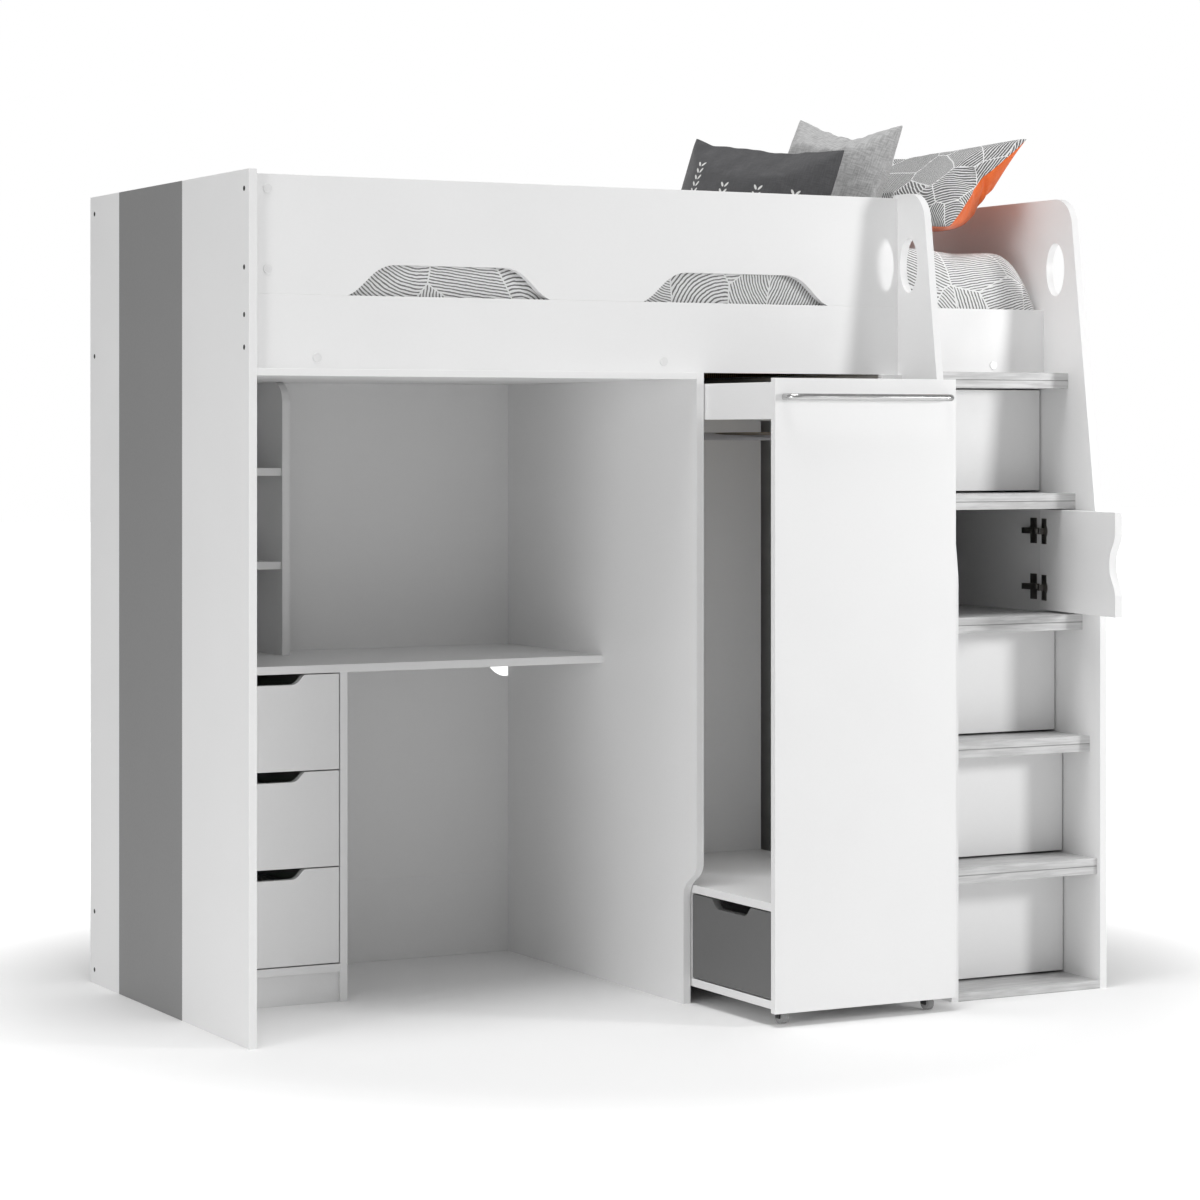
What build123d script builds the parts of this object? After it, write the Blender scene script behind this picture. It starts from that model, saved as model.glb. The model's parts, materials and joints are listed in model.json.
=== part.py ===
"""Loft bed with a desk, a pull-out wardrobe and a stair of lockers.

Millimetres, +Z up, +X along the bed from the desk end to the stair end, +Y to the back.
The pieces are drawn from the floor corner under the desk end's front edge, and the whole
bed is then moved so that the origin is the middle of its box on the floor. It is drawn
with the wardrobe pulled out and the second locker from the top open.
"""
from build123d import *
import os
from math import cos, radians, sin

# ---- overall sizes and boards ----
LENGTH = 2042.0          # outside of the desk end to outside of the stair end
HEIGHT = 1830.0          # floor to the top of the end panels
DEPTH = 980.0            # front edge to back edge of the end panels
BOARD = 18.0             # every main board
EDGE_ROUND = 0.8         # eased edge of a board
SCRIBE_GAP = 20.0        # the end panels run past the back boards to clear a skirting
GAP = 3.0                # between a door, drawer front or pull-out unit and its neighbour
SEAT_GAP = 0.5           # under a piece that slides on a board
CLEAR = 0.3              # round a piece that slides or rests beside another
FIT = 0.1                # round a head or cup sunk in a board

# ---- desk end, three boards side by side ----
END_FRONT_WIDTH = 386.0
END_REAR_WIDTH = 195.0

# ---- bays, from the right end leftwards; the desk bay takes what is left ----
LADDER_CLEAR = 393.0     # between the stair's two sides
WARDROBE_BAY = 525.0

# ---- bed box ----
RAIL_SETBACK = 18.0      # rails stand back from the end panel's front edge
RAIL_DROP = 8.0          # top of the guard rail below the end panel's top
GUARD_HEIGHT = 251.0
SIDE_HEIGHT = 156.0
CUT_MOUTH = 480.0        # sheet windows in the guard rail's lower edge
CUT_TOP = 250.0
CUT_RISE = 67.0
CUT_FROM_LEFT = 214.0    # plain rail left of the first window
CUT_FROM_RIGHT = 189.0   # and right of the last
CUT_LEAN = 22.0          # slope of a window's end where it leaves the edge, degrees
NOTCH_LEAN = 30.0        # the same for a drawer's finger notch
WAVE_LEAN = 8.0          # and for a locker door's wave
BATTEN = (20.0, 22.0)    # slat bearer, width and height
SLAT_THICK = 14.0
SLAT_WIDTH = 70.0
SLAT_COUNT = 14
MATTRESS_THICK = 130.0
DUVET_THICK = 125.0
SOFT_ROUND = 30.0        # rounded edge of the duvet's solid

# ---- desk bay ----
CANOPY_THICK = 15.0
DESK_TOP_HEIGHT = 760.0
DESK_DEPTH = 498.0
BACK_STRIP_HEIGHT = 200.0
CABLE_RADIUS = 63.0      # quarter-round cable passage in the lower back board
SHELF_WIDTH = 385.0      # bookshelf and drawer pedestal, clear width
SHELF_DEPTH = 155.0
SHELF_CORNER = 50.0
SHELF_SETBACK = 8.0
SHELF_COUNT = 2

# ---- drawer pedestal ----
PEDESTAL_SETBACK = 6.0   # drawer fronts behind the desk top's front edge
PLINTH_HEIGHT = 68.0
PLINTH_SETBACK = 8.0
DRAWER_COUNT = 3
DRAWER_BACK_GAP = 74.0   # behind a drawer box
DRAWER_BOX_HEIGHT = 130.0
DRAWER_BOX_LIFT = 20.0   # box floor above the lower edge of its front
DRAWER_WALL = 12.0
DRAWER_FLOOR = 6.0
RUNNER = (12.7, 35.0)    # fixed runner, thickness and height
NOTCH_MOUTH = 214.0      # finger notch in a pedestal drawer front
NOTCH_FLOOR = 146.0
NOTCH_DEPTH = 22.0

# ---- partition and wardrobe ----
RECESS_CLEAR = 5.0       # the partition's foot is cut back past the low drawer, so that it can open
RECESS_DROP = 9.0        # full depth of the cut ends below the low shelf
RECESS_BLEND = 86.0
INFILL_WIDTH = 52.0      # fixed strip that closes the bay beside the narrower unit
WARDROBE_BACK_GAP = 82.0 # behind the unit when it is pushed in
WARDROBE_OUT = 303.0     # how far the unit is drawn out as it stands
WARDROBE_TOP_GAP = 16.0  # front panel's top below the bed rail
FRONT_FLOOR_GAP = 30.0
BASE_FLOOR_GAP = 39.0
LOW_SHELF_TOP = 267.0
TOP_RAIL_HEIGHT = 80.0
TOP_RAIL_DROP = 9.0      # carcass top below the front panel's top
LOW_DRAWER_WIDTH = 338.0
LOW_DRAWER_SIDE = 2.0    # low drawer front to the wardrobe's front panel
LOW_DRAWER_BACK_GAP = 16.0
LOW_NOTCH_MOUTH = 172.0
LOW_NOTCH_FLOOR = 106.0
LOW_NOTCH_DEPTH = 21.0
HANG_RAIL_RADIUS = 9.5
HANG_RAIL_WALL = 1.5
HANG_RAIL_DROP = 117.0   # rail's middle below the carcass top
SOCKET = (16.0, 12.0)    # hanging rail socket, radius and length
HANDLE_RADIUS = 7.5
HANDLE_REACH = 38.0
HANDLE_INSET = 24.0
HANDLE_DROP = 41.0       # handle's middle below the front panel's top
HANDLE_BEND = 22.0
WHEEL_RADIUS = 17.0
WHEEL_WIDTH = 14.0
AXLE_RADIUS = 3.0
AXLE_CLEAR = 0.05
CASTOR_INSET = 45.0      # castor's middle from the unit's side
CASTOR_SETBACK = 30.0    # castor's middle from the front panel or rear panel
CHEEK = 3.0              # castor housing's plate and cheeks

# ---- stair ----
FOOT_REACH = 205.0       # stair sides in front of the end panel's front edge
TOP_REACH = 87.0         # the same at the top
KNEE_HEIGHT = 955.0
KNEE_RADIUS = 300.0
CORNER_RADIUS = 68.0
HOLE_HALF = (35.5, 62.5)  # oval hand hole, half width and half height
HOLE_AHEAD = 29.5        # its middle in front of the end panel's front edge
HOLE_DROP = 165.0        # its middle below the top
STEP_COUNT = 6
TREAD_THICK = 2 * BOARD  # two layers along the front
TREAD_LIFT = 6.0         # top tread above the underside of the bed rail
TOP_TREAD_REACH = 81.0
TREAD_RUN = 28.0
NOSING_DEPTH = 160.0     # second layer under a tread's front part
DOOR_SETBACK = 110.0     # top door behind the top tread's front edge
DOOR_RUN = 30.0
LOWEST_DOOR_REACH = 64.0
DOOR_FOOT_GAP = 5.0
OPEN_DOOR = 1            # counted from the top
OPEN_ANGLE = 80.0
WAVE_HEIGHT = 138.0      # finger wave in a door's free edge
WAVE_FLOOR = 8.0
WAVE_DEPTH = 28.0
HINGE_INSET = 52.0       # hinge's middle from the door's top or bottom
CUP_RADIUS = 17.5
CUP_DEPTH = 11.5
CUP_FROM_EDGE = 22.5
FLANGE = (24.0, 1.5, 60.0)
KNUCKLE = (8.0, 10.5, 14.0)
PLATE = (2.0, 25.0, 60.0)
ARM = (12.0, 56.0, 14.0)

# ---- small fixings ----
CAP_RADIUS = 10.0
CAP_THICK = 1.6
CAP_NEAR = 31.0          # guard rail's covers from its end and top
CAP_GUARD_RISE = 52.0    # lower one above the guard rail's lower edge
CAP_FAR = 143.0          # side rails' covers from the bed's ends
CAP_FROM_PARTITION = 74.0
CAP_RISE = 24.0          # above the side rails' lower edge
SCREW_RADIUS = 5.5
SCREW_DEPTH = 4.0
SCREW_SOCKET = 2.2
SCREW_INSET = 32.0       # screw's middle from the edge of the board it holds
SIDE_SCREW_INSET = 44.0
GUARD_SCREW_RISE = 55.0

# ---- pillows: along the bed's width, height, thickness, lean and turn in degrees ----
DARK_CUSHION = (470.0, 262.0, 110.0, 16.0, 17.0)
LIGHT_CUSHION = (450.0, 330.0, 120.0, 16.0, 0.0)
PATTERNED_PILLOW = (700.0, 350.0, 130.0, 47.0, 0.0)
DARK_CUSHION_FOOT = (610.0, 340.0)     # from the stair end's inner face and the rail
LIGHT_CUSHION_FOOT = (408.0, 345.0)
PATTERNED_PILLOW_FOOT = (268.0, 385.0)
CUSHION_ROUND = 42.0

# ---- places worked out from the sizes above ----
LEFT = BOARD
RIGHT = LENGTH - BOARD
LADDER_SIDE = (RIGHT - LADDER_CLEAR - BOARD, RIGHT - LADDER_CLEAR)
PARTITION = (LADDER_SIDE[0] - WARDROBE_BAY - BOARD, LADDER_SIDE[0] - WARDROBE_BAY)
BACK = (DEPTH - SCRIBE_GAP - BOARD, DEPTH - SCRIBE_GAP)
RAIL = (RAIL_SETBACK, RAIL_SETBACK + BOARD)
RAIL_TOP = HEIGHT - RAIL_DROP
GUARD_FOOT = RAIL_TOP - GUARD_HEIGHT
SIDE_FOOT = GUARD_FOOT - SIDE_HEIGHT
CANOPY = (SIDE_FOOT - CANOPY_THICK, SIDE_FOOT)
TOP_TREAD = SIDE_FOOT + TREAD_LIFT
STEP_RISE = (TOP_TREAD - BOARD) / (STEP_COUNT - 1)
SLAT_FOOT = TOP_TREAD + BATTEN[1]
MATTRESS_FOOT = SLAT_FOOT + SLAT_THICK
DUVET_FOOT = MATTRESS_FOOT + MATTRESS_THICK
DUVET_TOP = DUVET_FOOT + DUVET_THICK
DESK = (DESK_TOP_HEIGHT - BOARD, DESK_TOP_HEIGHT)
DESK_FRONT = BACK[0] - DESK_DEPTH
SHELF_SIDE = (LEFT + SHELF_WIDTH, LEFT + SHELF_WIDTH + BOARD)
DRAWER_FRONT = DESK_FRONT + PEDESTAL_SETBACK
PEDESTAL_BASE = (PLINTH_HEIGHT, PLINTH_HEIGHT + BOARD)
UNIT = (PARTITION[1] + GAP, LADDER_SIDE[0] - INFILL_WIDTH - GAP)
UNIT_TOP = SIDE_FOOT - WARDROBE_TOP_GAP
CARCASS_TOP = UNIT_TOP - TOP_RAIL_DROP
UNIT_BACK = (BACK[0] - WARDROBE_BACK_GAP - BOARD, BACK[0] - WARDROBE_BACK_GAP)
BASE = (BASE_FLOOR_GAP, BASE_FLOOR_GAP + BOARD)
LOW_SHELF = (LOW_SHELF_TOP - BOARD, LOW_SHELF_TOP)
LOW_DRAWER = (BOARD + LOW_DRAWER_SIDE, BOARD + LOW_DRAWER_SIDE + LOW_DRAWER_WIDTH)
RECESS_DEPTH = LOW_DRAWER[1] - WARDROBE_OUT + RECESS_CLEAR
RECESS_TOP = LOW_SHELF[0] - RECESS_DROP
HANG_RAIL_Z = CARCASS_TOP - HANG_RAIL_DROP
CASTOR_ROWS = (BOARD + CASTOR_SETBACK, UNIT_BACK[0] - CASTOR_SETBACK)
DOOR_COUNT = STEP_COUNT - 1
DOOR = (LADDER_SIDE[1] + GAP, RIGHT - GAP)


def tread_top(step):
    """Height of a tread's top, steps counted from the top one, 0, to the floor one."""
    return TOP_TREAD - step * STEP_RISE


def tread_front(step):
    """A tread's front edge: each one comes further forward, and the lowest is flush."""
    last = step == STEP_COUNT - 1
    return -FOOT_REACH if last else -TOP_TREAD_REACH - TREAD_RUN * step


def door_front(number):
    """A locker door's front face, doors counted from the top one, 0."""
    return max(DOOR_SETBACK - TOP_TREAD_REACH - DOOR_RUN * number, -LOWEST_DOOR_REACH)


def door_heights(number):
    """A door's lower and upper edge, between two treads."""
    return (tread_top(number + 1) + DOOR_FOOT_GAP, tread_top(number) - TREAD_THICK - GAP)


def hinge_heights(number):
    """The middles of a door's two hinges."""
    foot, top = door_heights(number)
    return (foot + HINGE_INSET, top - HINGE_INSET)


def drawer_heights(number):
    """A pedestal drawer front's lower and upper edge, counted from the top one, 0."""
    clear = DESK[0] - PEDESTAL_BASE[1] - (DRAWER_COUNT + 1) * GAP
    height = clear / DRAWER_COUNT
    top = DESK[0] - GAP - number * (height + GAP)
    return (top - height, top)


def shelf_heights():
    """The undersides of the bookshelf's boards, evenly spaced over the desk."""
    clear = (CANOPY[0] - DESK[1] - SHELF_COUNT * BOARD) / (SHELF_COUNT + 1)
    return [DESK[1] + clear * (n + 1) + BOARD * n for n in range(SHELF_COUNT)]


def block(x, y, z):
    """A plain block from its (low, high) along X, Y and Z."""
    size = [pair[1] - pair[0] for pair in (x, y, z)]
    middle = [(pair[0] + pair[1]) / 2 for pair in (x, y, z)]
    return Pos(*middle) * Box(*size)


def board(x, y, z):
    """A block with eased edges."""
    solid = block(x, y, z)
    return fillet(solid.edges(), EDGE_ROUND)


def plate_across(face, x):
    """A board cut to an outline drawn in Y and Z, as thick as x."""
    return extrude(Plane.YZ.offset(x[0]) * face, x[1] - x[0])


def plate_along(face, y):
    """A board cut to an outline drawn in X and Z, as thick as y."""
    return extrude(Plane.XZ.offset(-y[1]) * face, y[1] - y[0])


def notch(mouth, floor, depth, lean):
    """A flat-floored notch with S-shaped ends, cut upwards into an edge at height 0.

    It is mouth wide at the edge and floor wide at its depth, and its ends leave the edge
    at the angle lean. It runs a board's thickness below the edge so that it cuts clean.
    """
    out, inside = mouth / 2, floor / 2
    rise = (cos(radians(lean)), sin(radians(lean)))
    fall = (rise[0], -rise[1])
    ends = [
        Spline((-out, 0), (-inside, depth), tangents=[rise, (1, 0)]),
        Line((-inside, depth), (inside, depth)),
        Spline((inside, depth), (out, 0), tangents=[(1, 0), fall]),
        Polyline((out, 0), (out, -BOARD), (-out, -BOARD), (-out, 0)),
    ]
    return make_face(ends)


def rod(start, end, radius):
    """A round rod from one point to another."""
    path = Line(start, end)
    return sweep(Plane(origin=start, z_dir=path % 0) * Circle(radius), path=path)


def tube(start, end, radius, hole):
    """A round tube from one point to another."""
    return rod(start, end, radius) - rod(start, end, hole)


def group(solids):
    """Separate solids that share a node."""
    return Compound(children=[solid for item in solids for solid in item.solids()])


def stair_edge(back):
    """The stair side's outline from its foot up the front and along the top to back."""
    points = [(-FOOT_REACH, 0), (-FOOT_REACH, KNEE_HEIGHT), (-TOP_REACH, HEIGHT), (back, HEIGHT)]
    return FilletPolyline(*points, radius=[KNEE_RADIUS, CORNER_RADIUS])


def hand_hole():
    """The oval hand hole at the top of a stair side."""
    return Pos(-HOLE_AHEAD, HEIGHT - HOLE_DROP) * Ellipse(*HOLE_HALF)


# ---- desk end and its screws ----
def screw_places():
    """The middles of the screw heads in the desk end's outer face, as (Y, Z)."""
    front, rear = sum(RAIL) / 2, sum(BACK) / 2
    guard = [(front, RAIL_TOP - SCREW_INSET), (front, GUARD_FOOT + GUARD_SCREW_RISE)]
    side = [(front, GUARD_FOOT - SIDE_SCREW_INSET), (front, SIDE_FOOT + SIDE_SCREW_INSET)]
    rail = [(rear, RAIL_TOP - SCREW_INSET), (rear, SIDE_FOOT + SIDE_SCREW_INSET)]
    strip = [(rear, BACK_STRIP_HEIGHT - SCREW_INSET), (rear, SCREW_INSET)]
    return guard + side + rail + strip


def screw_pockets(grow):
    """Shallow round pockets, or with no growth the heads, in the outer face."""
    return [
        rod((0, y, z), (SCREW_DEPTH, y, z), SCREW_RADIUS + grow) for y, z in screw_places()
    ]


def desk_end():
    """Three upright boards, the middle one in a second colour."""
    edges = [0, END_FRONT_WIDTH, DEPTH - END_REAR_WIDTH, DEPTH]
    names = ("end_panel_front", "end_panel_centre", "end_panel_rear")
    boards = {}
    for name, low, high in zip(names, edges, edges[1:]):
        boards[name] = board((0, BOARD), (low, high), (0, HEIGHT))
    for pocket in screw_pockets(FIT):
        place = pocket.center().Y
        name = names[0] if place < END_FRONT_WIDTH else names[2]
        boards[name] -= pocket
    return boards


def assembly_screws():
    """Dark screw heads with a hexagon socket, flush with the outer face."""
    heads = []
    for (y, z), head in zip(screw_places(), screw_pockets(0)):
        face = Plane.YZ * Pos(y, z) * RegularPolygon(SCREW_SOCKET, 6)
        heads.append(head - extrude(face, SCREW_DEPTH / 2))
    return group(heads)


# ---- stair ----
def end_panel_right():
    """The bed's right end: full depth, with the stair's front outline."""
    top = (DEPTH, HEIGHT)
    rest = Polyline(top, (DEPTH, 0), (-FOOT_REACH, 0))
    face = make_face([stair_edge(DEPTH), rest]) - hand_hole()
    return plate_across(face, (RIGHT, LENGTH))


def ladder_side_panel():
    """The stair's left side: it rises past the rails in front and stops under the bed."""
    rest = Polyline(
        (RAIL[1], HEIGHT),
        (RAIL[1], SIDE_FOOT),
        (BACK[0], SIDE_FOOT),
        (BACK[0], 0),
        (-FOOT_REACH, 0),
    )
    face = make_face([stair_edge(RAIL[1]), rest]) - hand_hole()
    return plate_across(face, LADDER_SIDE)


def ladder_treads():
    """Full-depth treads that are the lockers' floors, thickened along their fronts."""
    across = (LADDER_SIDE[1], RIGHT)
    boards = []
    for step in range(STEP_COUNT):
        top, front = tread_top(step), tread_front(step)
        boards.append(board(across, (front, BACK[0]), (top - BOARD, top)))
        if step < STEP_COUNT - 1:
            under = (top - TREAD_THICK, top - BOARD)
            boards.append(board(across, (front, front + NOSING_DEPTH), under))
    return group(boards)


def on_door(solid, number):
    """Turns a piece of a door from closed to where the door stands."""
    angle = OPEN_ANGLE if number == OPEN_DOOR else 0
    pivot = Pos(DOOR[1], door_front(number), 0)
    return pivot * Rot(0, 0, angle) * pivot.inverse() * solid


def hinge_cup(number, z, grow):
    """The round cup of a hinge, or with growth the hole for it, in a closed door."""
    x, back = DOOR[1] - CUP_FROM_EDGE, door_front(number) + BOARD
    return rod((x, back, z), (x, back - CUP_DEPTH - grow, z), CUP_RADIUS + grow)


def locker_door(number):
    """A door hung on its right, with a wave in its free edge to pull it by."""
    foot, top = door_heights(number)
    front = door_front(number)
    wave = notch(WAVE_HEIGHT, WAVE_FLOOR, WAVE_DEPTH, WAVE_LEAN)
    turned = Pos(DOOR[0], (foot + top) / 2) * Rot(0, 0, -90) * wave
    door = board(DOOR, (front, front + BOARD), (foot, top))
    door -= plate_along(turned, (front, front + BOARD))
    for z in hinge_heights(number):
        door -= hinge_cup(number, z, FIT)
    return on_door(door, number)


def locker_hinges(number):
    """The two cups, flanges and knuckles that ride on a door."""
    back = door_front(number) + BOARD
    x = DOOR[1] - CUP_FROM_EDGE
    pieces = []
    for z in hinge_heights(number):
        flange = Pos(x, back + FLANGE[1] / 2, z) * Box(*FLANGE)
        knuckle_x = DOOR[1] - CUP_FROM_EDGE / 2 - KNUCKLE[0] / 2
        knuckle_y = back + FLANGE[1] + KNUCKLE[1] / 2
        knuckle = Pos(knuckle_x, knuckle_y, z) * Box(*KNUCKLE)
        pieces.append(hinge_cup(number, z, 0) + flange + knuckle)
    return on_door(group(pieces), number)


def hinge_plates():
    """The plate and arm of each hinge, fixed to the stair end's inner face."""
    pieces = []
    for number in range(DOOR_COUNT):
        back = door_front(number) + BOARD
        start = back + FLANGE[1] + KNUCKLE[1] + 2.0
        for z in hinge_heights(number):
            plate = Pos(RIGHT - PLATE[0] / 2, start + PLATE[1], z) * Box(*PLATE)
            arm_x = RIGHT - PLATE[0] - ARM[0] / 2
            arm = Pos(arm_x, start + ARM[1] / 2, z) * Box(*ARM)
            pieces.append(plate + arm)
    return group(pieces)


# ---- bed box ----
def window_middles():
    """The middles of the guard rail's two windows."""
    half = CUT_MOUTH / 2
    return (LEFT + CUT_FROM_LEFT + half, LADDER_SIDE[0] - CUT_FROM_RIGHT - half)


def guard_rail():
    """The upper rail, with two windows along its lower edge."""
    rail = board((LEFT, LADDER_SIDE[0]), RAIL, (GUARD_FOOT, RAIL_TOP))
    for x in window_middles():
        window = Pos(x, GUARD_FOOT) * notch(CUT_MOUTH, CUT_TOP, CUT_RISE, CUT_LEAN)
        rail -= plate_along(window, RAIL)
    return rail


def cap_places():
    """The middles of the round covers on the rails, as (X, Z)."""
    low = SIDE_FOOT + CAP_RISE
    near = LEFT + CAP_NEAR
    guard = [(near, RAIL_TOP - CAP_NEAR), (near, GUARD_FOOT + CAP_GUARD_RISE)]
    side = [(LEFT + CAP_FAR, low), (PARTITION[0] - CAP_FROM_PARTITION, low)]
    short = [(RIGHT - CAP_FAR, low)]
    return guard + side + short


def cover_caps():
    """Low round covers over the rails' fixings."""
    caps = []
    for x, z in cap_places():
        cap = rod((x, RAIL[0], z), (x, RAIL[0] - CAP_THICK, z), CAP_RADIUS)
        rim = cap.edges().filter_by(GeomType.CIRCLE).sort_by(Axis.Y)[0]
        caps.append(fillet(rim, CAP_THICK / 2))
    return group(caps)


def slat_battens():
    """The two bearers along the bed's sides."""
    along, height = (LEFT, RIGHT), (TOP_TREAD, SLAT_FOOT)
    front = (RAIL[1], RAIL[1] + BATTEN[0])
    rear = (BACK[0] - BATTEN[0], BACK[0])
    return group([board(along, front, height), board(along, rear, height)])


def bed_slats():
    """Slats from bearer to bearer, evenly spaced."""
    pitch = (RIGHT - LEFT) / SLAT_COUNT
    slats = []
    for number in range(SLAT_COUNT):
        middle = LEFT + pitch * (number + 0.5)
        across = (middle - SLAT_WIDTH / 2, middle + SLAT_WIDTH / 2)
        height = (SLAT_FOOT, MATTRESS_FOOT)
        slats.append(board(across, (RAIL[1] + CLEAR, BACK[0] - CLEAR), height))
    return group(slats)


def bedding():
    """The mattress and a duvet on it, plain solids of the right size."""
    along = (LEFT + GAP, RIGHT - GAP)
    across = (RAIL[1] + GAP, BACK[0] - GAP)
    mattress = board(along, across, (MATTRESS_FOOT, DUVET_FOOT))
    duvet = block(along, across, (DUVET_FOOT, DUVET_TOP))
    top = duvet.faces().sort_by(Axis.Z)[-1]
    return {"mattress": mattress, "duvet": fillet(top.edges(), SOFT_ROUND)}


def pillow(size, foot):
    """A soft block that stands on the duvet and leans towards the stair end."""
    width, height, thick, lean, turn = size
    cushion = Box(thick, width, height)
    cushion = fillet(cushion.edges(), CUSHION_ROUND)
    leaned = Rot(0, 0, turn) * Rot(0, lean, 0) * Pos(0, 0, height / 2) * cushion
    seat = DUVET_TOP + CLEAR - leaned.bounding_box().min.Z
    return Pos(RIGHT - foot[0], RAIL[1] + foot[1], seat) * leaned


# ---- desk bay ----
def back_panel_lower():
    """The board behind the knee space, with the cable passage in its top corner."""
    x = (LEFT, sum(PARTITION) / 2)
    y, z = BACK, (BACK_STRIP_HEIGHT, DESK[0])
    panel = board(x, y, z)
    return panel - rod((PARTITION[0], y[0], z[1]), (PARTITION[0], y[1], z[1]), CABLE_RADIUS)


def bookshelf():
    """A side with a rounded top corner and two boards, over the desk's left part."""
    front = BACK[0] - SHELF_DEPTH
    points = [(BACK[0], DESK[1]), (front, DESK[1]), (front, CANOPY[0]), (BACK[0], CANOPY[0])]
    corner = [EDGE_ROUND, SHELF_CORNER]
    outline = [FilletPolyline(*points, radius=corner), Line(points[-1], points[0])]
    pieces = [plate_across(make_face(outline), SHELF_SIDE)]
    for foot in shelf_heights():
        y = (front + SHELF_SETBACK, BACK[0])
        pieces.append(board((LEFT, SHELF_SIDE[0]), y, (foot, foot + BOARD)))
    return group(pieces)


def pedestal_base():
    """The board under the lowest drawer and the plinth under it."""
    across = (LEFT, SHELF_SIDE[0])
    base = board(across, (DRAWER_FRONT, BACK[0]), PEDESTAL_BASE)
    front = DRAWER_FRONT + PLINTH_SETBACK
    plinth = board(across, (front, front + BOARD), (0, PLINTH_HEIGHT))
    return group([base, plinth])


def pedestal_drawer_front(number):
    """A drawer front with a finger notch in its top edge."""
    foot, top = drawer_heights(number)
    across = (LEFT + GAP, SHELF_SIDE[0] - GAP)
    y = (DRAWER_FRONT, DRAWER_FRONT + BOARD)
    cut = notch(NOTCH_MOUTH, NOTCH_FLOOR, NOTCH_DEPTH, NOTCH_LEAN)
    placed = Pos(sum(across) / 2, top) * Rot(0, 0, 180) * cut
    return board(across, y, (foot, top)) - plate_along(placed, y)


def open_box(x, y, z):
    """A drawer box: four walls and a floor, open above."""
    inner_x = (x[0] + DRAWER_WALL, x[1] - DRAWER_WALL)
    inner_y = (y[0] + DRAWER_WALL, y[1] - DRAWER_WALL)
    inner_z = (z[0] + DRAWER_FLOOR, z[1])
    return block(x, y, z) - block(inner_x, inner_y, inner_z)


def pedestal_box_sizes(number):
    """A pedestal drawer box's reach along X, Y and Z."""
    foot = drawer_heights(number)[0] + DRAWER_BOX_LIFT
    side = RUNNER[0] + CLEAR
    back = DRAWER_FRONT + BOARD
    x = (LEFT + side, SHELF_SIDE[0] - side)
    return x, (back, BACK[0] - DRAWER_BACK_GAP), (foot, foot + DRAWER_BOX_HEIGHT)


def drawer_runners():
    """A pair of fixed runners for each pedestal drawer."""
    runners = []
    for number in range(DRAWER_COUNT):
        _, y, z = pedestal_box_sizes(number)
        middle = sum(z) / 2
        height = (middle - RUNNER[1] / 2, middle + RUNNER[1] / 2)
        runners.append(block((LEFT, LEFT + RUNNER[0]), y, height))
        runners.append(block((SHELF_SIDE[0] - RUNNER[0], SHELF_SIDE[0]), y, height))
    return group(runners)


def partition_panel():
    """The board between desk and wardrobe, its foot cut back in an S."""
    start, end = (0, RECESS_TOP + RECESS_BLEND), (RECESS_DEPTH, RECESS_TOP)
    blend = Spline(start, end, tangents=[(0, -1), (0, -1)])
    rest = Polyline(end, (RECESS_DEPTH, 0), (BACK[0], 0), (BACK[0], SIDE_FOOT), (0, SIDE_FOOT), start)
    return plate_across(make_face([blend, rest]), PARTITION)


# ---- wardrobe, drawn pushed in and then pulled out ----
def drawn_out(solid):
    """Moves a piece of the wardrobe from pushed in to where it stands."""
    return Pos(0, -WARDROBE_OUT, 0) * solid


def wardrobe_carcass():
    """The low shelf, the divider behind the low drawer and the low right side."""
    inner = (BOARD, UNIT_BACK[0])
    shelf = board(UNIT, inner, LOW_SHELF)
    under = (BASE[1], LOW_SHELF[0])
    behind = (LOW_DRAWER[1] + GAP, LOW_DRAWER[1] + GAP + BOARD)
    divider = board(UNIT, behind, under)
    side = board((UNIT[1] - BOARD, UNIT[1]), (BOARD, behind[0]), under)
    return group([shelf, divider, side])


def wardrobe_top_rails():
    """The upright rails along the top of the two open sides."""
    y, z = (BOARD, UNIT_BACK[0]), (CARCASS_TOP - TOP_RAIL_HEIGHT, CARCASS_TOP)
    left, right = (UNIT[0], UNIT[0] + BOARD), (UNIT[1] - BOARD, UNIT[1])
    return group([board(left, y, z), board(right, y, z)])


def wardrobe_handle():
    """A round bow handle across the top of the front panel."""
    z, reach = UNIT_TOP - HANDLE_DROP, HANDLE_RADIUS - HANDLE_REACH
    left, right = UNIT[0] + HANDLE_INSET, UNIT[1] - HANDLE_INSET
    points = [(left, 0, z), (left, reach, z), (right, reach, z), (right, 0, z)]
    path = FilletPolyline(*points, radius=HANDLE_BEND)
    section = Plane(origin=points[0], z_dir=(0, -1, 0)) * Circle(HANDLE_RADIUS)
    return sweep(section, path=path)


def hanging_rail():
    """A round tube from front to back in a socket at each end."""
    x, ends = sum(UNIT) / 2, (BOARD, UNIT_BACK[0])
    rail = tube(
        (x, ends[0], HANG_RAIL_Z),
        (x, ends[1], HANG_RAIL_Z),
        HANG_RAIL_RADIUS,
        HANG_RAIL_RADIUS - HANG_RAIL_WALL,
    )
    pieces = [rail]
    for end, way in zip(ends, (1, -1)):
        start, stop = (x, end, HANG_RAIL_Z), (x, end + way * SOCKET[1], HANG_RAIL_Z)
        pieces.append(tube(start, stop, SOCKET[0], HANG_RAIL_RADIUS + FIT))
    return group(pieces)


def castor_places():
    """The middles of the four wheels, as (X, Y), front row first."""
    columns = (UNIT[0] + CASTOR_INSET, UNIT[1] - CASTOR_INSET)
    return [(x, y) for y in CASTOR_ROWS for x in columns]


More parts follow.
